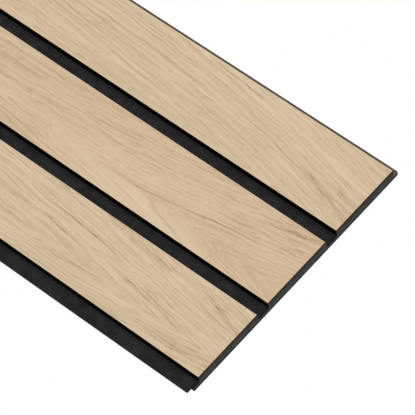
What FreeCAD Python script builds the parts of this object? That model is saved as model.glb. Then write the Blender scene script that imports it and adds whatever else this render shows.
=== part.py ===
"""Acoustic slat wall panel: wide oak-veneered slats on a thin black backing board.

Units are millimetres. X runs along the slats, Y across the panel and Z out of the wall.
The origin is at the middle of the back face, so the panel lies on Z = 0.
The over lap is on the -Y long side and the under lap on the +Y long side.
"""
import FreeCAD, Part
import os

from FreeCAD import Vector

# Driving sizes of the whole panel
panel_length = 2400.0
slat_count = 3

# Slats and the grooves between them
slat_width = 84.4
groove_width = 15.6
slat_core_thickness = 8.4

# Oak veneer on each slat, with its upper edges eased by a light sanding
veneer_thickness = 0.6
veneer_edge_ease = 0.25

# Backing board and the two laps that join one panel to the next
backing_thickness = 5.3
over_lap_width = 6.8
over_lap_thickness = 1.6
lap_side_clearance = 0.1
lap_face_clearance = 0.1

# Trimming of the laps at both ends of the panel
over_lap_end_notch = 2.2
over_lap_corner_radius = 1.0
under_lap_corner_radius = 2.0

# The lap of the next panel slides under this one, so it is smaller by the clearances
under_lap_width = over_lap_width - lap_side_clearance
under_lap_thickness = backing_thickness - over_lap_thickness - lap_face_clearance
over_lap_underside = backing_thickness - over_lap_thickness

# Places across the panel. One groove width of bare backing lies beyond the last slat.
slat_pitch = slat_width + groove_width
cover_width = slat_count * slat_pitch
overall_width = cover_width + under_lap_width
over_lap_edge = -overall_width / 2.0
cover_edge = over_lap_edge + cover_width
under_lap_edge = cover_edge + under_lap_width

# Places along the panel and through its thickness
end_x = panel_length / 2.0
slat_top = backing_thickness + slat_core_thickness


def prism_along_x(outline, x_low, x_high):
    """A closed outline of (y, z) points, pushed along the panel from x_low to x_high."""
    points = [Vector(x_low, y, z) for y, z in outline]
    points.append(points[0])
    face = Part.Face(Part.makePolygon(points))
    return face.extrude(Vector(x_high - x_low, 0, 0))


def slat_edges(index):
    """The low and high Y of slat number index. Slat 1 stands at the under lap's side."""
    high = cover_edge - (index - 1) * slat_pitch
    return high - slat_width, high


def backing_profile():
    """Half-lap section: the upper half stands out at -Y and the lower half at +Y."""
    body_low = over_lap_edge + over_lap_width
    return [
        (body_low, 0.0),
        (under_lap_edge, 0.0),
        (under_lap_edge, under_lap_thickness),
        (cover_edge, under_lap_thickness),
        (cover_edge, backing_thickness),
        (over_lap_edge, backing_thickness),
        (over_lap_edge, over_lap_underside),
        (body_low, over_lap_underside),
    ]


def over_lap_notches():
    """The two blocks that the trimming saw takes off the ends of the over lap."""
    lap = [
        (over_lap_edge, over_lap_underside),
        (over_lap_edge + over_lap_width, over_lap_underside),
        (over_lap_edge + over_lap_width, backing_thickness),
        (over_lap_edge, backing_thickness),
    ]
    low_end = prism_along_x(lap, -end_x, -end_x + over_lap_end_notch)
    high_end = prism_along_x(lap, end_x - over_lap_end_notch, end_x)
    return [low_end, high_end]


def lap_corners(board, lap_edge):
    """The upright edges at the two free corners of the lap whose outer face is at Y = lap_edge."""
    corners = []
    for edge in board.Edges:
        box = edge.BoundBox
        upright = box.XLength < 1e-6 and box.YLength < 1e-6
        if upright and abs(box.YMin - lap_edge) < 1e-6:
            corners.append(edge)
    return corners


def make_backing_board():
    """One milled board: both laps, the notched ends and the rounded corners."""
    board = prism_along_x(backing_profile(), -end_x, end_x)
    for notch in over_lap_notches():
        board = board.cut(notch)
    board = board.makeFillet(over_lap_corner_radius, lap_corners(board, over_lap_edge))
    board = board.makeFillet(under_lap_corner_radius, lap_corners(board, under_lap_edge))
    return board


def make_slat_core(index):
    """A plain black strip, glued flat to the backing board."""
    low, high = slat_edges(index)
    section = [
        (low, backing_thickness),
        (high, backing_thickness),
        (high, slat_top),
        (low, slat_top),
    ]
    return prism_along_x(section, -end_x, end_x)


def make_veneer_face(index):
    """A sheet of oak veneer, flush with its slat, with its four upper edges eased."""
    low, high = slat_edges(index)
    face_top = slat_top + veneer_thickness
    section = [
        (low, slat_top),
        (high, slat_top),
        (high, face_top),
        (low, face_top),
    ]
    sheet = prism_along_x(section, -end_x, end_x)
    upper_edges = [edge for edge in sheet.Edges if edge.BoundBox.ZMin > face_top - 1e-6]
    return sheet.makeChamfer(veneer_edge_ease, upper_edges)


def make_panel():
    """Every piece of the panel by its node name."""
    pieces = {"backing_board": make_backing_board()}
    for index in range(1, slat_count + 1):
        pieces[f"slat_core_{index}"] = make_slat_core(index)
        pieces[f"veneer_face_{index}"] = make_veneer_face(index)
    return pieces


def main():
    """Writes one STEP file for each piece and prints its volume and state."""
    os.makedirs("parts", exist_ok=True)
    for name, shape in make_panel().items():
        solid = shape.Solids[0]
        solid.exportStep(os.path.join("parts", name + ".step"))
        print(name, "solids", len(shape.Solids), "valid", solid.isValid(), "volume", round(solid.Volume))


main()
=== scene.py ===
# %% [markdown]
# A slat wall panel in oak and black.
# Three wide slats, each faced with a sheet of oak veneer, are glued to a thin black backing board.
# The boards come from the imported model, at their real size in metres, and their shapes stay as they are.
# What makes this panel look real is the finish: pale flat-cut oak against black fibreboard.
# The lesson builds those two finishes from nodes, and then sets up the floor, the light and the camera.

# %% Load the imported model
import math

import bpy
from mathutils import Matrix, Vector


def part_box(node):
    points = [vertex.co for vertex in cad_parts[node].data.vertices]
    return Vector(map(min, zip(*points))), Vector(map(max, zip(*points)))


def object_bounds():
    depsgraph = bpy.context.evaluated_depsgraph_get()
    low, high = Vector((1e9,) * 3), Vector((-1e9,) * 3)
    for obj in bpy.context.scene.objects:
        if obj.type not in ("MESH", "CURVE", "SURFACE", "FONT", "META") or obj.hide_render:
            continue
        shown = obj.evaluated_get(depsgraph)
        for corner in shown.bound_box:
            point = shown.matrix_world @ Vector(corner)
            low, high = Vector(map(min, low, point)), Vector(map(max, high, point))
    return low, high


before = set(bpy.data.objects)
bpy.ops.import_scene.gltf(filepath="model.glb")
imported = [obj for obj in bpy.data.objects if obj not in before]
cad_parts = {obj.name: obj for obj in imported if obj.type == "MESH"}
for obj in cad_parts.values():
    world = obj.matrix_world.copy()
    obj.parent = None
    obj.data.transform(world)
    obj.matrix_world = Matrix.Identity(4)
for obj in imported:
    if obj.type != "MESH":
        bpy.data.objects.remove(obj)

cad_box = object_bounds()
print("boards:", sorted(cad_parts))

# %% [markdown]
# Every pattern below is drawn at a real size in millimetres, but Blender works in metres.
# So the sizes of the boards are measured once and kept in millimetres.
# Slat 1 is the far one in the picture, and the sawn end in the picture is the one at +X.

# %% Measure the boards
MM = 0.001
SLATS = (1, 2, 3)
END_X = cad_box[1][0] / MM
SLAT_EDGES = {}
for index in SLATS:
    low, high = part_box(f"veneer_face_{index}")
    SLAT_EDGES[index] = (low.y / MM, high.y / MM)
    print("slat", index, "lies from", round(low.y / MM, 2), "to", round(high.y / MM, 2), "mm across")
VENEER_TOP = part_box("veneer_face_1")[1].z / MM
CORE_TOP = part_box("slat_core_1")[1].z / MM
BACKING_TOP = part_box("backing_board")[1].z / MM
tops = [round(top, 2) for top in (BACKING_TOP, CORE_TOP, VENEER_TOP)]
print("the backing, a slat and its veneer reach up to", tops, "mm")

# %% [markdown]
# Colours are written as sRGB hex values, the way they look on a screen, but a shader works in
# linear light. One function turns the first into the second.

# %% Colours as they look
def srgb(code):
    """'D2BA9A', by the sRGB curve, as the linear red, green, blue and alpha that a socket wants."""
    parts = [int(code[i:i + 2], 16) / 255 for i in (0, 2, 4)]
    linear = [p / 12.92 if p <= 0.04045 else ((p + 0.055) / 1.055) ** 2.4 for p in parts]
    return (*linear, 1.0)


print("pale oak in linear light:", [round(value, 3) for value in srgb("D2BA9A")])

# %% [markdown]
# A material is a small network of nodes. One helper adds any node, sets its options and its
# sockets, and links what feeds it. Values that are the same all over a surface are set on the
# shader's own sockets, so that they survive an export.

# %% Helpers for node materials
def add_node(tree, kind, settings=None, links=None):
    """Adds a node. settings: option or socket to value. links: socket to the output that feeds it."""
    node = tree.nodes.new(kind)
    for key, value in (settings or {}).items():
        if isinstance(key, str) and hasattr(node, key):
            setattr(node, key, value)
        else:
            node.inputs[key].default_value = value
    for key, output in (links or {}).items():
        tree.links.new(output, node.inputs[key])
    return node


def start_material(name, roughness, specular):
    """A new material with one Principled shader. Gives its tree, shader and object coordinates."""
    material = bpy.data.materials.new(name)
    material.use_nodes = True
    tree = material.node_tree
    tree.nodes.clear()
    shader = add_node(tree, "ShaderNodeBsdfPrincipled",
                      {"Roughness": roughness, "Specular IOR Level": specular, "Metallic": 0.0})
    add_node(tree, "ShaderNodeOutputMaterial", links={"Surface": shader.outputs["BSDF"]})
    place = add_node(tree, "ShaderNodeTexCoord").outputs["Object"]
    return material, tree, shader, place


def dress(name, material):
    """Gives a packed board its finish, in place of the plain one that it came with."""
    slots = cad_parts[name].data.materials
    slots.clear()
    slots.append(material)


print("boards that need a finish:", len(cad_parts))

# %% [markdown]
# Flat-cut veneer is sliced from a log along its length, to one side of the heart.
# Each growth ring meets the slice at a low angle, so it draws a long line, and the lines of both
# sides close in arches where the log's heart was nearest. A line joins all points that are equally
# far from the heart, and the log's taper shifts that distance bit by bit along the slat.
# So one number per point, the ring distance, carries the whole drawing:
# the root of (across - heart)^2 + depth^2, plus the taper and the swell.
# The three slats come from three logs. Their hearts and tapers are chosen so that the arches
# point the way they do in the picture: towards the sawn end on slats 1 and 3, away from it on 2.
# No trunk is quite straight or round. The heart drifts across the slat, the trunk swells and thins
# along its length, and a small noise lets each line stray a little, as fibres do.

# %% The three leaves of veneer
# heart is in mm from the far edge, at the sawn end. drift and taper are in mm for each mm along.
# swell is in mm, and swell_turn is the angle of its wave at the sawn end, in radians.
# oak is the leaf's middle colour, and shade shifts it towards the pale one. bands, fibres and years
# say how strongly those mark it. year is the mean width of a year in mm, and seed picks the noises.
LEAVES = {
    1: {"heart": 85.5, "drift": 0.045, "taper": 0.12, "swell": 14.0, "swell_turn": -0.8, "seed": 31.9,
        "oak": "D2BA9A", "shade": 0.068, "bands": 0.46, "fibres": 0.66, "year": 6.0, "years": 0.075},
    2: {"heart": 66.5, "drift": 0.02, "taper": -0.125, "swell": -10.0, "swell_turn": -0.1, "seed": 31.4,
        "oak": "D2B997", "shade": 0.055, "bands": 0.42, "fibres": 0.48, "year": 5.2, "years": 0.05},
    3: {"heart": 61.0, "drift": 0.025, "taper": 0.095, "swell": -6.5, "swell_turn": 2.5, "seed": 50.2,
        "oak": "D2BA9A", "shade": 0.077, "bands": 0.18, "fibres": 0.88, "year": 4.2, "years": 0.06},
}
DEPTH = 1.0              # mm that the slice passes beside the heart
SWELL_LENGTH = 900.0     # mm from one thick place of the trunk to the next
WANDER = 3.6             # mm that a ring may stray from its smooth line
WANDER_LENGTH = 45.0     # mm along the slat from one bend of a line to the next
WANDER_WIDTH = 13.0      # mm across it until the lines bend another way
print("hearts lie", [leaf["heart"] for leaf in LEAVES.values()], "mm from the far edge at the sawn end")


def ring_lines(tree, leaf, spot):
    """Links up the ring distance. spot is a place on the slat, in mm from its sawn end and far edge."""
    split = add_node(tree, "ShaderNodeSeparateXYZ", links={"Vector": spot})
    along, across = split.outputs["X"], split.outputs["Y"]
    stretched = add_node(tree, "ShaderNodeVectorMath",
                         {"operation": "MULTIPLY", 1: (1 / WANDER_LENGTH, 1 / WANDER_WIDTH, 0.0)},
                         {0: spot})
    stray = add_node(tree, "ShaderNodeTexNoise",
                     {"noise_dimensions": "4D", "Scale": 1.0, "Detail": 1.0, "W": leaf["seed"]},
                     {"Vector": stretched.outputs["Vector"]})
    heart = add_node(tree, "ShaderNodeMath",
                     {"operation": "MULTIPLY_ADD", 1: -leaf["drift"], 2: -leaf["heart"] - WANDER},
                     {0: along})
    offset = add_node(tree, "ShaderNodeMath", {"operation": "ADD"}, {0: across, 1: heart.outputs[0]})
    strayed = add_node(tree, "ShaderNodeMath", {"operation": "MULTIPLY_ADD", 1: 2 * WANDER},
                       {0: stray.outputs["Fac"], 2: offset.outputs[0]})
    square = add_node(tree, "ShaderNodeMath", {"operation": "MULTIPLY"},
                      {0: strayed.outputs[0], 1: strayed.outputs[0]})
    deep = add_node(tree, "ShaderNodeMath", {"operation": "ADD", 1: DEPTH ** 2}, {0: square.outputs[0]})
    radius = add_node(tree, "ShaderNodeMath", {"operation": "SQRT"}, {0: deep.outputs[0]})
    taper = add_node(tree, "ShaderNodeMath", {"operation": "MULTIPLY_ADD", 1: leaf["taper"]},
                     {0: along, 2: radius.outputs[0]})
    turn = add_node(tree, "ShaderNodeMath",
                    {"operation": "MULTIPLY_ADD", 1: 2 * math.pi / SWELL_LENGTH, 2: leaf["swell_turn"]},
                    {0: along})
    wave = add_node(tree, "ShaderNodeMath", {"operation": "SINE"}, {0: turn.outputs[0]})
    ring = add_node(tree, "ShaderNodeMath", {"operation": "MULTIPLY_ADD", 1: leaf["swell"]},
                    {0: wave.outputs[0], 2: taper.outputs[0]})
    return {"along": along, "across": across, "ring": ring.outputs[0], "offset": strayed.outputs[0]}

# %% [markdown]
# The wood is streaked all over: broad bands where the years were good or bad, and fine lines of
# fibre. Both are a noise texture read along the ring distance, so they follow every arch by
# themselves. Each runs many times as far along the slat as it does from ring to ring, because
# fibres are long and thin. The third coordinate of the noise is the place across the slat. It lets
# the streaks change slowly along an arch, which would otherwise be the same on both of its sides.

# %% Streaks that follow the rings
# width and length are in mm. octaves and falloff say how much finer streaking there is inside one.
BROAD = {"width": 30.0, "length": 480.0, "octaves": 2.0, "falloff": 0.75, "seed": 10}
FINE = {"width": 2.0, "length": 110.0, "octaves": 1.0, "falloff": 1.0, "seed": 40}
BUNDLE = 7.0             # streak widths across the slat until the same ring looks different


def ring_streaks(tree, leaf, lines, kind):
    """Links up streaks of one kind: a noise of mean 0.5 that follows the ring lines."""
    along = add_node(tree, "ShaderNodeMath", {"operation": "MULTIPLY", 1: 1 / kind["length"]},
                     {0: lines["along"]})
    ring = add_node(tree, "ShaderNodeMath", {"operation": "MULTIPLY", 1: 1 / kind["width"]},
                    {0: lines["ring"]})
    across = add_node(tree, "ShaderNodeMath", {"operation": "MULTIPLY", 1: 1 / (BUNDLE * kind["width"])},
                      {0: lines["across"]})
    spot = add_node(tree, "ShaderNodeCombineXYZ",
                    links={"X": along.outputs[0], "Y": ring.outputs[0], "Z": across.outputs[0]})
    noise = add_node(tree, "ShaderNodeTexNoise",
                     {"noise_dimensions": "4D", "Scale": 1.0, "Detail": kind["octaves"],
                      "Roughness": kind["falloff"], "W": kind["seed"] + leaf["seed"]},
                     {"Vector": spot.outputs[0]})
    return noise.outputs["Fac"]


print("broad streaks are", BROAD["length"], "mm long and fine ones", FINE["length"], "mm")

# %% [markdown]
# The rings themselves are a few millimetres apart, nearly even, and wider in a wet year. That is a
# sine of the ring distance, whose phase is pushed forward and back by a slow noise. On the veneer
# each year is a soft dark line and a soft pale one. Next to the heart the cut runs along a single
# year, so the lines fade out there.

# %% Year rings
PHASE = {"width": 16.0, "length": 300.0, "octaves": 0.0, "falloff": 0.5, "seed": 70}
PUSH = 16.0              # radians of phase over the whole range of the noise
FAINT_TO = 2.0           # mm from the heart, up to which the years are faintest
CLEAR_FROM = 14.0        # mm from the heart, past which they are clear
FAINTEST = 0.1           # share of their strength that they keep at the heart


def year_rings(tree, leaf, lines):
    """Links up the years: a soft wave from -1 in the dark wood to 1 in the pale wood."""
    slow = ring_streaks(tree, leaf, lines, PHASE)
    pushed = add_node(tree, "ShaderNodeMath", {"operation": "MULTIPLY", 1: PUSH}, {0: slow})
    turn = add_node(tree, "ShaderNodeMath", {"operation": "MULTIPLY_ADD", 1: 2 * math.pi / leaf["year"]},
                    {0: lines["ring"], 2: pushed.outputs[0]})
    wave = add_node(tree, "ShaderNodeMath", {"operation": "SINE"}, {0: turn.outputs[0]})
    flank = add_node(tree, "ShaderNodeMath", {"operation": "ABSOLUTE"}, {0: lines["offset"]})
    clear = add_node(tree, "ShaderNodeMapRange",
                     {"interpolation_type": "SMOOTHSTEP", "From Min": FAINT_TO, "From Max": CLEAR_FROM,
                      "To Min": FAINTEST},
                     {"Value": flank.outputs[0]})
    wave = add_node(tree, "ShaderNodeMath", {"operation": "MULTIPLY"},
                    {0: wave.outputs[0], 1: clear.outputs[0]})
    return wave.outputs[0]


print("a year is", [leaf["year"] for leaf in LEAVES.values()], "mm wide on the three slats")

# %% [markdown]
# Oak's spring wood is open: cut along, its pores are short dark dashes that lie along the fibre.
# Real ones are 0.3 mm wide, which is under a pixel here, so they are drawn 0.7 mm wide. They are
# streaks as well, only very short ones. A Map Range turns the low values of their noise into pores,
# each dark in the middle and fading out at the rim, and makes the high values plain wood.

# %% Pores
PORE_WIDTH = 0.7         # mm
PORE_LENGTH = 6.0        # mm
SPOTS_PER_CELL = 2       # one cell of a noise is as wide as a dark spot and a pale one
PORE_NOISE = {"width": SPOTS_PER_CELL * PORE_WIDTH, "length": SPOTS_PER_CELL * PORE_LENGTH,
              "octaves": 1.0, "falloff": 0.5, "seed": 20}
PORE_RIM = 0.54          # value of the noise at which a pore starts
PORE_MIDDLE = 0.34       # value of the noise at which it is darkest


def pores(tree, leaf, lines):
    """Links up the pores: 1 in a pore and 0 in plain wood."""
    noise = ring_streaks(tree, leaf, lines, PORE_NOISE)
    dashes = add_node(tree, "ShaderNodeMapRange",
                      {"interpolation_type": "SMOOTHSTEP", "From Min": PORE_RIM, "From Max": PORE_MIDDLE},
                      {"Value": noise})
    return dashes.outputs["Result"]


print("pores are", PORE_WIDTH, "by", PORE_LENGTH, "mm")

# %% [markdown]
# A few lines on each slat are darker than the rest: rings of a dry year, or a mineral streak.
# They are what the eye finds first, so each gets its own place: where it starts and stops along
# the slat, how far across the slat its middle lies, how far it leans off the ring that it follows
# from there, and its strength. The ring distance of its middle is worked out from the leaf.
# Each is the product of three soft windows, and the windows are added up. A wide one with a
# strength below zero is a pale area, such as the young wood beside the heart.

# %% Dark rings and pale areas
# start and stop (mm from the sawn end, inwards is below 0), middle (mm from the far edge),
# lean (mm for each mm along), half width (mm), strength
DARK_RINGS = {
    1: [(-245, -130, 7.5, 0.0, 3.4, 0.24), (-170, -60, 19.0, 0.0, 2.4, 0.13),
        (-84, 30, 62.0, -0.10, 4.2, 0.24), (-40, 24, 52.5, 0.0, 5.0, 0.18),
        (-400, -310, 11.0, 0.0, 3.0, 0.12), (-330, 40, 5.0, 0.0, 16.0, -0.12),
        (-125, -30, 58.0, 0.0, 14.0, -0.08)],
    2: [(-430, -340, 22.5, 0.0, 2.6, 0.18), (-400, -150, 40.0, 0.0, 2.4, 0.12),
        (-222, -98, 56.0, 0.01, 2.4, 0.24), (-140, -38, 44.0, 0.0, 2.4, 0.26),
        (-190, -80, 76.5, 0.11, 3.0, 0.25), (-58, 14, 8.0, 0.05, 3.4, 0.20),
        (-115, -62, 33.0, 0.0, 2.2, 0.18), (-80, 40, 5.0, 0.0, 14.0, 0.14),
        (-120, 40, 27.0, 0.0, 18.0, 0.08), (-340, -30, 69.0, 0.0, 24.0, -0.08),
        (-340, -60, 62.5, 0.0, 20.0, -0.08), (-330, -40, 22.0, 0.0, 22.0, 0.05),
        (-420, -285, 70.0, 0.0, 18.0, 0.10)],
    3: [(-62, 30, 22.5, -0.16, 4.4, 0.24), (-250, -155, 24.5, 0.0, 2.4, 0.20),
        (-256, -166, 41.0, 0.0, 2.2, 0.24), (-205, -148, 37.5, 0.0, 2.0, 0.16),
        (-160, -36, 50.0, 0.0, 2.2, 0.18), (-240, -130, 64.0, -0.02, 2.4, 0.22),
        (-140, -90, 10.0, 0.0, 2.4, 0.18), (-75, 65, 72.0, 0.0, 14.0, 0.09)],
}
HEART_BLEND = 3.0        # mm each side of the heart over which a dark ring fades out
FULL_SHARE = 0.4         # share of its length over which a dark ring has its full strength


def ring_at(leaf, along, across):
    """The ring distance of a place, without the strays, and -1 or 1 for its side of the heart."""
    offset = across - leaf["heart"] - leaf["drift"] * along
    swell = leaf["swell"] * math.sin(2 * math.pi * along / SWELL_LENGTH + leaf["swell_turn"])
    return math.hypot(offset, DEPTH) + leaf["taper"] * along + swell, math.copysign(1, offset)


def dark_rings(tree, leaf, lines, rings):
    """Links up the dark rings of one slat, added up, each with its own strength."""
    total = None
    for start, stop, across, lean, width, strength in rings:
        centre, half = (start + stop) / 2, (stop - start) / 2
        ring, side = ring_at(leaf, centre, across)
        leaned = add_node(tree, "ShaderNodeMath",
                          {"operation": "MULTIPLY_ADD", 1: -lean, 2: lean * centre - ring},
                          {0: lines["along"]})
        away = add_node(tree, "ShaderNodeMath", {"operation": "ADD"},
                        {0: lines["ring"], 1: leaned.outputs[0]})
        away = add_node(tree, "ShaderNodeMath", {"operation": "ABSOLUTE"}, {0: away.outputs[0]})
        thin = add_node(tree, "ShaderNodeMapRange",
                        {"interpolation_type": "SMOOTHSTEP", "From Min": width, "From Max": 0.0,
                         "To Max": strength},
                        {"Value": away.outputs[0]})
        reach = add_node(tree, "ShaderNodeMath", {"operation": "ADD", 1: -centre}, {0: lines["along"]})
        reach = add_node(tree, "ShaderNodeMath", {"operation": "ABSOLUTE"}, {0: reach.outputs[0]})
        long = add_node(tree, "ShaderNodeMapRange",
                        {"interpolation_type": "SMOOTHSTEP", "From Min": half,
                         "From Max": FULL_SHARE * half},
                        {"Value": reach.outputs[0]})
        flank = add_node(tree, "ShaderNodeMapRange",
                         {"interpolation_type": "SMOOTHSTEP", "From Min": -HEART_BLEND * side,
                          "From Max": HEART_BLEND * side},
                         {"Value": lines["offset"]})
        streak = add_node(tree, "ShaderNodeMath", {"operation": "MULTIPLY"},
                          {0: thin.outputs["Result"], 1: long.outputs["Result"]})
        streak = add_node(tree, "ShaderNodeMath", {"operation": "MULTIPLY"},
                          {0: streak.outputs[0], 1: flank.outputs["Result"]})
        if total is not None:
            streak = add_node(tree, "ShaderNodeMath", {"operation": "ADD"},
                              {0: streak.outputs[0], 1: total})
        total = streak.outputs[0]
    return total


for index in SLATS:
    print("slat", index, "has", len(DARK_RINGS[index]), "dark rings and pale areas")

# %% [markdown]
# The veneer is 0.6 mm thick. Its face is sanded and has a matt lacquer, so the colour is the wood's
# own with a soft, wide sheen. The patterns above are added up to one tone, and a colour ramp turns
# the tone into oak. A dark ring is darkest in its pores, so the pores multiply it as well.
# The noises have a mean of a half, which is taken off again, so that they leave the mean tone alone.
# The slat's sides were sprayed black after pressing, and the paint runs over the eased edge.
# The saw left the end of the sheet dark brown, with glue and dust in it.
# Where a point lies tells which of the three it is, so one material can hold them all.

# %% Oak veneer
OAK_DARK = "9C8160"
OAK_LIGHT = "EBD6B9"
MIDDLE_TONE = 0.5        # the place of a leaf's own colour between the dark and the light one
PORE_STRENGTH = 0.115
RING_IN_WOOD = 0.8       # share of a dark ring's strength in plain wood
RING_IN_PORE = 1.3       # the same in the middle of a pore
PORE_SINK = 0.5          # how far a pore is sunk, where 1 is the height of the fibres
FACE_RELIEF = 0.05       # mm
FACE_BUMP = 0.4          # share of that relief which the lacquer leaves
EASED_EDGE = 0.25        # mm
MARGIN = 0.01            # mm that a mask reaches past the edge that it starts from
BLACK_PAINT = "050404"
SAWN_VENEER = "3A3025"


def oak_veneer(index):
    """Flat-cut oak veneer with a matt lacquer, for one slat."""
    leaf = LEAVES[index]
    low, high = SLAT_EDGES[index]
    name = f"flat_cut_oak_veneer_{index}"
    material, tree, shader, place = start_material(name, roughness=0.5, specular=0.3)
    mapping = add_node(tree, "ShaderNodeMapping",
                       {"Scale": (1 / MM, -1 / MM, 1 / MM), "Location": (-END_X, high, 0.0)},
                       {"Vector": place})
    spot = mapping.outputs["Vector"]
    lines = ring_lines(tree, leaf, spot)
    bands = ring_streaks(tree, leaf, lines, BROAD)
    fibres = ring_streaks(tree, leaf, lines, FINE)
    dashes = pores(tree, leaf, lines)
    darker = dark_rings(tree, leaf, lines, DARK_RINGS[index])

    plain = MIDDLE_TONE + leaf["shade"] - (leaf["bands"] + leaf["fibres"]) / 2
    tone = add_node(tree, "ShaderNodeMath", {"operation": "MULTIPLY_ADD", 1: leaf["bands"], 2: plain},
                    {0: bands})
    tone = add_node(tree, "ShaderNodeMath", {"operation": "MULTIPLY_ADD", 1: leaf["fibres"]},
                    {0: fibres, 2: tone.outputs[0]})
    tone = add_node(tree, "ShaderNodeMath", {"operation": "MULTIPLY_ADD", 1: leaf["years"]},
                    {0: year_rings(tree, leaf, lines), 2: tone.outputs[0]})
    tone = add_node(tree, "ShaderNodeMath", {"operation": "MULTIPLY_ADD", 1: -PORE_STRENGTH},
                    {0: dashes, 2: tone.outputs[0]})
    uneven = add_node(tree, "ShaderNodeMath",
                      {"operation": "MULTIPLY_ADD", 1: RING_IN_PORE - RING_IN_WOOD, 2: RING_IN_WOOD},
                      {0: dashes})
    darker = add_node(tree, "ShaderNodeMath", {"operation": "MULTIPLY"}, {0: darker, 1: uneven.outputs[0]})
    tone = add_node(tree, "ShaderNodeMath", {"operation": "SUBTRACT"},
                    {0: tone.outputs[0], 1: darker.outputs[0]})
    ramp = add_node(tree, "ShaderNodeValToRGB", links={"Fac": tone.outputs[0]})
    ramp.color_ramp.elements[0].color = srgb(OAK_DARK)
    ramp.color_ramp.elements[1].color = srgb(OAK_LIGHT)
    ramp.color_ramp.elements.new(MIDDLE_TONE).color = srgb(leaf["oak"])

    middle = (high - low) / 2
    from_middle = add_node(tree, "ShaderNodeMath", {"operation": "ADD", 1: -middle}, {0: lines["across"]})
    from_middle = add_node(tree, "ShaderNodeMath", {"operation": "ABSOLUTE"}, {0: from_middle.outputs[0]})
    painted = add_node(tree, "ShaderNodeMath",
                       {"operation": "GREATER_THAN", 1: middle - EASED_EDGE - MARGIN},
                       {0: from_middle.outputs[0]})
    face = add_node(tree, "ShaderNodeMix", {"data_type": "RGBA", "B": srgb(BLACK_PAINT)},
                    {"Factor": painted.outputs[0], "A": ramp.outputs["Color"]})
    from_centre = add_node(tree, "ShaderNodeMath", {"operation": "ADD", 1: END_X}, {0: lines["along"]})
    from_centre = add_node(tree, "ShaderNodeMath", {"operation": "ABSOLUTE"}, {0: from_centre.outputs[0]})
    sawn = add_node(tree, "ShaderNodeMath", {"operation": "GREATER_THAN", 1: END_X - EASED_EDGE - MARGIN},
                    {0: from_centre.outputs[0]})
    colour = add_node(tree, "ShaderNodeMix", {"data_type": "RGBA", "B": srgb(SAWN_VENEER)},
                      {"Factor": sawn.outputs[0], "A": face.outputs["Result"]})
    tree.links.new(colour.outputs["Result"], shader.inputs["Base Color"])

    height = add_node(tree, "ShaderNodeMath", {"operation": "MULTIPLY_ADD", 1: -PORE_SINK},
                      {0: dashes, 2: fibres})
    bump = add_node(tree, "ShaderNodeBump", {"Strength": FACE_BUMP, "Distance": FACE_RELIEF * MM},
                    {"Height": height.outputs[0]})
    tree.links.new(bump.outputs["Normal"], shader.inputs["Normal"])
    print(material.name, "has", len(tree.nodes), "nodes")
    return material


for index in SLATS:
    dress(f"veneer_face_{index}", oak_veneer(index))

# %% [markdown]
# The slats and the backing are medium-density fibreboard, dyed black right through. Milled faces
# are charcoal, with faint clouds. A saw tears the fibres, so the ends are a lighter, mottled grey.
# The ends are also darker towards the foot of the board, and just under the veneer they have a
# painted shade in brown.
# The groove sides were sprayed with matt black paint, which swallows nearly all light and makes the
# grooves look deep. Two noises do the mottling: fine grit, and wider clouds in the dye.

# %% Helpers for the fibreboard
GRIT = 0.9               # mm, the clumps of fibre that the eye can still tell apart
CLOUD = 5.0              # mm, the clouds in the dye
NOISE_SWING = 0.3        # the two noises add up to 1 on average, and stay mostly within this of it
MILLED_MOTTLE = 0.34     # share by which the colour of a milled face goes up and down
SAWN_MOTTLE = 0.22       # the same on a sawn end
BOARD_RELIEF = 0.06      # mm
BOARD_BUMP = 0.5         # share of that relief which shows
SKIN = 0.02              # mm, how near a point has to be to count as on a face


def in_millimetres(tree, place):
    """The object coordinates in mm, whole and split into X, Y and Z."""
    mapping = add_node(tree, "ShaderNodeMapping", {"Scale": (1 / MM, 1 / MM, 1 / MM)}, {"Vector": place})
    split = add_node(tree, "ShaderNodeSeparateXYZ", links={"Vector": mapping.outputs["Vector"]})
    return mapping.outputs["Vector"], split.outputs


def at_sawn_ends(tree, x, depth=SKIN):
    """1 within depth mm of the two sawn ends, else 0."""
    from_centre = add_node(tree, "ShaderNodeMath", {"operation": "ABSOLUTE"}, {0: x})
    near = add_node(tree, "ShaderNodeMath", {"operation": "GREATER_THAN", 1: END_X - depth},
                    {0: from_centre.outputs[0]})
    return near.outputs[0]


def paint_over(tree, under, where, code):
    """The colour under, with the colour of the code where the mask is 1."""
    mix = add_node(tree, "ShaderNodeMix", {"data_type": "RGBA", "B": srgb(code)}, {"Factor": where})
    if isinstance(under, str):
        mix.inputs["A"].default_value = srgb(under)
    else:
        tree.links.new(under, mix.inputs["A"])
    return mix.outputs["Result"]


def band_on_ends(tree, under, ends, height, start, full, code):
    """On the ends, the colour under goes over to the code between the heights start and full, in mm."""
    share = add_node(tree, "ShaderNodeMapRange",
                     {"interpolation_type": "SMOOTHSTEP", "From Min": start, "From Max": full},
                     {"Value": height})
    on_end = add_node(tree, "ShaderNodeMath", {"operation": "MULTIPLY"},
                      {0: share.outputs["Result"], 1: ends})
    return paint_over(tree, under, on_end.outputs[0], code)


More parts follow.
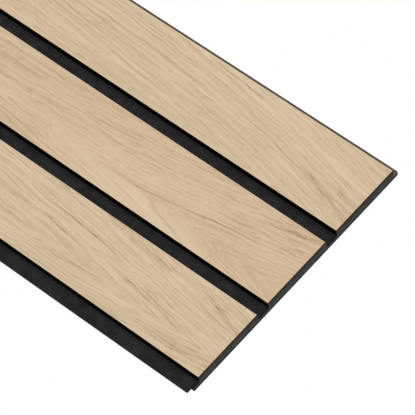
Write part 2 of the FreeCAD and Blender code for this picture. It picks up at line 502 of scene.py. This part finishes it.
def mottled(tree, colour, spot, amount):
    """The colour made lighter and darker from spot to spot, by up to the amount, and the grit."""
    grit = add_node(tree, "ShaderNodeTexNoise",
                    {"Scale": 1 / (SPOTS_PER_CELL * GRIT), "Detail": 2.0, "Roughness": 0.6},
                    {"Vector": spot})
    cloud = add_node(tree, "ShaderNodeTexNoise", {"Scale": 1 / (SPOTS_PER_CELL * CLOUD), "Detail": 1.0},
                     {"Vector": spot})
    both = add_node(tree, "ShaderNodeMath", {"operation": "ADD"},
                    {0: grit.outputs["Fac"], 1: cloud.outputs["Fac"]})
    swing = add_node(tree, "ShaderNodeMapRange",
                     {"From Min": 1 - NOISE_SWING, "From Max": 1 + NOISE_SWING, "To Min": -1.0},
                     {"Value": both.outputs[0]})
    factor = add_node(tree, "ShaderNodeMath", {"operation": "MULTIPLY_ADD", 2: 1.0},
                      {0: swing.outputs["Result"], 1: amount})
    scaled = add_node(tree, "ShaderNodeVectorMath", {"operation": "SCALE"},
                      {"Vector": colour, "Scale": factor.outputs[0]})
    return scaled.outputs["Vector"], grit.outputs["Fac"]


def finish_fibreboard(tree, shader, colour, spot, ends):
    """Links the mottled colour and a slight roughness of the surface to the shader."""
    amount = add_node(tree, "ShaderNodeMath",
                      {"operation": "MULTIPLY_ADD", 1: SAWN_MOTTLE - MILLED_MOTTLE, 2: MILLED_MOTTLE},
                      {0: ends})
    mixed, grit = mottled(tree, colour, spot, amount.outputs[0])
    tree.links.new(mixed, shader.inputs["Base Color"])
    bump = add_node(tree, "ShaderNodeBump", {"Strength": BOARD_BUMP, "Distance": BOARD_RELIEF * MM},
                    {"Height": grit})
    tree.links.new(bump.outputs["Normal"], shader.inputs["Normal"])


print("the board has grit of", GRIT, "mm and clouds of", CLOUD, "mm")

# %% [markdown]
# A slat core shows only its painted sides and its sawn ends: the rest is glued.

# %% Slat cores
SAWN_BOARD = "444445"
# painted shade, in brown, on the sawn ends of a core just under the veneer
VENEER_SHADE_BROWN = "382F24"
VENEER_SHADE_DEPTH = 6.5      # mm under the veneer, down to which there is any painted shade
VENEER_SHADE_FULL_DEPTH = 1.0     # mm under the veneer, down to which the painted shade is full
material, tree, shader, place = start_material("black_sprayed_fibreboard", roughness=0.9, specular=0.02)
spot, axis = in_millimetres(tree, place)
ends = at_sawn_ends(tree, axis["X"])
colour = paint_over(tree, BLACK_PAINT, ends, SAWN_BOARD)
# paints shade in brown on the sawn ends, just under the veneer
colour = band_on_ends(tree, colour, ends, axis["Z"], CORE_TOP - VENEER_SHADE_DEPTH, CORE_TOP - VENEER_SHADE_FULL_DEPTH,
                   VENEER_SHADE_BROWN)
finish_fibreboard(tree, shader, colour, spot, ends)
for index in SLATS:
    dress(f"slat_core_{index}", material)
print(material.name, "is on", len(SLATS), "slat cores")

# %% [markdown]
# The backing board shows more of how it was made. Its groove floors and the ledge beyond the last
# slat are milled charcoal. The under lap was milled deeper, and stayed lighter and browner.
# The outer face and the underside of the over lap were sprayed black together with the slats.
# Along each sawn end, a narrow strip of the board's top is darker.

# %% Backing board
MILLED_BOARD = "262627"
RAW_LAP = "564E44"
DARK_END_STRIP = "0C0C0C"
DARK_STRIP_WIDTH = 1.1       # mm
SPRAY_REACH = 6.5        # mm from the over lap's outer face, up to which its underside is painted
SPRAY_DROP = 1.0         # mm below the top, from which a point counts as on that underside
# the sawn ends of the backing are darker towards the foot of the board
DARK_FOOT = "2E3032"
FOOT_HEIGHT = 4.8        # mm above the back, up to which the foot is at all dark
DARKEST_HEIGHT = 2.8     # mm above the back, up to which it is darkest
OVER_LAP_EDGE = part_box("backing_board")[0].y / MM
COVER_EDGE = SLAT_EDGES[1][1]
material, tree, shader, place = start_material("black_dyed_fibreboard", roughness=0.8, specular=0.08)
spot, axis = in_millimetres(tree, place)
on_lap = add_node(tree, "ShaderNodeMath", {"operation": "GREATER_THAN", 1: COVER_EDGE + SKIN},
                  {0: axis["Y"]})
colour = paint_over(tree, MILLED_BOARD, on_lap.outputs[0], RAW_LAP)
on_top = add_node(tree, "ShaderNodeMath", {"operation": "GREATER_THAN", 1: BACKING_TOP - SKIN},
                  {0: axis["Z"]})
# a darker strip along the top of the board at each sawn end
near_end = at_sawn_ends(tree, axis["X"], DARK_STRIP_WIDTH)
dark_strip = add_node(tree, "ShaderNodeMath", {"operation": "MULTIPLY"}, {0: on_top.outputs[0], 1: near_end})
colour = paint_over(tree, colour, dark_strip.outputs[0], DARK_END_STRIP)
outer_face = add_node(tree, "ShaderNodeMath", {"operation": "LESS_THAN", 1: OVER_LAP_EDGE + SKIN},
                      {0: axis["Y"]})
colour = paint_over(tree, colour, outer_face.outputs[0], BLACK_PAINT)
in_reach = add_node(tree, "ShaderNodeMath", {"operation": "LESS_THAN", 1: OVER_LAP_EDGE + SPRAY_REACH},
                    {0: axis["Y"]})
sunk = add_node(tree, "ShaderNodeMath", {"operation": "LESS_THAN", 1: BACKING_TOP - SPRAY_DROP},
                {0: axis["Z"]})
underside = add_node(tree, "ShaderNodeMath", {"operation": "MULTIPLY"},
                     {0: in_reach.outputs[0], 1: sunk.outputs[0]})
colour = paint_over(tree, colour, underside.outputs[0], BLACK_PAINT)
ends = at_sawn_ends(tree, axis["X"])
colour = paint_over(tree, colour, ends, SAWN_BOARD)
# darker towards the foot, on the sawn ends
colour = band_on_ends(tree, colour, ends, axis["Z"], FOOT_HEIGHT, DARKEST_HEIGHT, DARK_FOOT)
finish_fibreboard(tree, shader, colour, spot, ends)
dress("backing_board", material)
print(material.name, "has", len(tree.nodes), "nodes")

# %% [markdown]
# The panel lies on a pale studio floor. Photographed on white, such a floor burns out to pure white.
# Lighting it that hard would bleach the oak too. So the floor is a plain matt white for all light,
# and only what the camera sees of it is mixed with a white glow. A little of the matt surface stays
# in the mix and keeps the panel's shadow. The floor lies a hair below the panel's back, because two
# faces at the same height would fight over which one is seen.

# %% Floor
WHITE = "FFFFFF"
FLOOR_WHITE = "F3F3F3"
WHITE_SHARE = 0.97
FLOOR_SIDE = 24.0        # m
FLOOR_GAP = 0.3          # mm
bpy.ops.object.select_all(action="DESELECT")
bpy.ops.mesh.primitive_plane_add(size=FLOOR_SIDE, location=(0, 0, -FLOOR_GAP * MM))
floor = bpy.context.object
floor.name = "studio_floor"
material = bpy.data.materials.new("matt_white_studio_floor")
material.use_nodes = True
tree = material.node_tree
tree.nodes.clear()
matt = add_node(tree, "ShaderNodeBsdfDiffuse", {"Color": srgb(FLOOR_WHITE)})
glow = add_node(tree, "ShaderNodeEmission", {"Color": srgb(WHITE), "Strength": 1.0})
path = add_node(tree, "ShaderNodeLightPath")
share = add_node(tree, "ShaderNodeMath", {"operation": "MULTIPLY", 1: WHITE_SHARE},
                 {0: path.outputs["Is Camera Ray"]})
mix = add_node(tree, "ShaderNodeMixShader",
               links={0: share.outputs[0], 1: matt.outputs[0], 2: glow.outputs[0]})
add_node(tree, "ShaderNodeOutputMaterial", links={"Surface": mix.outputs[0]})
floor.data.materials.append(material)
print("floor", [round(side, 1) for side in floor.dimensions], "m")

# %% [markdown]
# One very large softbox hangs over the panel, a little towards the sawn end so that the end is lit.
# A sun lamp with a wide angle does the same as a box that fills that part of the sky, with no
# falloff along 2.4 m of panel. Its width gives the soft shadow at the foot of each slat.
# The world adds a weak even fill. It looks white to the camera alone, also through anything clear.

# %% Light
SOFTBOX_ENERGY = 2.8
SOFTBOX_WIDTH = 58.0     # degrees
SOFTBOX_LEAN = 0.45      # towards the sawn end, for each unit up
FILL = 0.17
sun_data = bpy.data.lights.new("softbox", "SUN")
sun_data.energy = SOFTBOX_ENERGY
sun_data.angle = math.radians(SOFTBOX_WIDTH)
sun = bpy.data.objects.new("softbox", sun_data)
bpy.context.scene.collection.objects.link(sun)
sun.rotation_euler = Vector((SOFTBOX_LEAN, 0.0, 1.0)).to_track_quat("Z", "Y").to_euler()

world = bpy.data.worlds.new("studio")
world.use_nodes = True
bpy.context.scene.world = world
tree = world.node_tree
tree.nodes.clear()
path = add_node(tree, "ShaderNodeLightPath")
seen = add_node(tree, "ShaderNodeMath", {"operation": "MAXIMUM"},
                {0: path.outputs["Is Camera Ray"], 1: path.outputs["Is Transmission Ray"]})
fill = add_node(tree, "ShaderNodeBackground", {"Color": srgb(WHITE), "Strength": FILL})
white = add_node(tree, "ShaderNodeBackground", {"Color": srgb(WHITE), "Strength": 1.0})
mix = add_node(tree, "ShaderNodeMixShader",
               links={0: seen.outputs[0], 1: fill.outputs[0], 2: white.outputs[0]})
add_node(tree, "ShaderNodeOutputWorld", links={"Surface": mix.outputs[0]})
print("softbox", sun_data.energy, "W/m2 and fill", FILL)

# %% [markdown]
# The camera stands where the photographer stood: to the near side of the sawn end and well above
# it, looking down along the slats, with a long lens. It is easiest to set by the point that it
# looks at. That point is on slat 2, and is measured from the corner between the sawn end and the
# far edge of slat 1. A direction and a distance lead from there to the camera, and the camera is
# then rolled about its own line of sight, because the picture is tilted.

# %% Camera
AIM_ALONG = 118.0        # mm from the sawn end
AIM_ACROSS = 137.9       # mm from the far edge of slat 1
DISTANCE = 3540.0        # mm
HEADING = -35.57         # degrees from the slats' direction round to the camera
HEIGHT = 56.28           # degrees from the panel up to the camera
ROLL = -15.41            # degrees
LENS = 319.25            # mm
SENSOR = 36.0            # mm
VIEW_END = 100.0         # m, beyond which the camera sees nothing
aim = Vector((END_X - AIM_ALONG, SLAT_EDGES[1][1] - AIM_ACROSS, VENEER_TOP)) * MM
around = Matrix.Rotation(math.radians(HEADING), 3, "Z")
upwards = Matrix.Rotation(math.radians(-HEIGHT), 3, "Y")
toward_camera = around @ upwards @ Vector((1.0, 0.0, 0.0))
camera_data = bpy.data.cameras.new("camera")
camera_data.sensor_width = SENSOR
camera_data.lens = LENS
camera_data.clip_end = VIEW_END
camera = bpy.data.objects.new("camera", camera_data)
bpy.context.scene.collection.objects.link(camera)
level = toward_camera.to_track_quat("Z", "Y").to_matrix()
turn = level @ Matrix.Rotation(math.radians(ROLL), 3, "Z")
camera.matrix_world = Matrix.Translation(aim + toward_camera * DISTANCE * MM) @ turn.to_4x4()
bpy.context.scene.camera = camera
bpy.context.scene.view_settings.view_transform = "Standard"
print("camera", DISTANCE, "mm from the point it looks at")
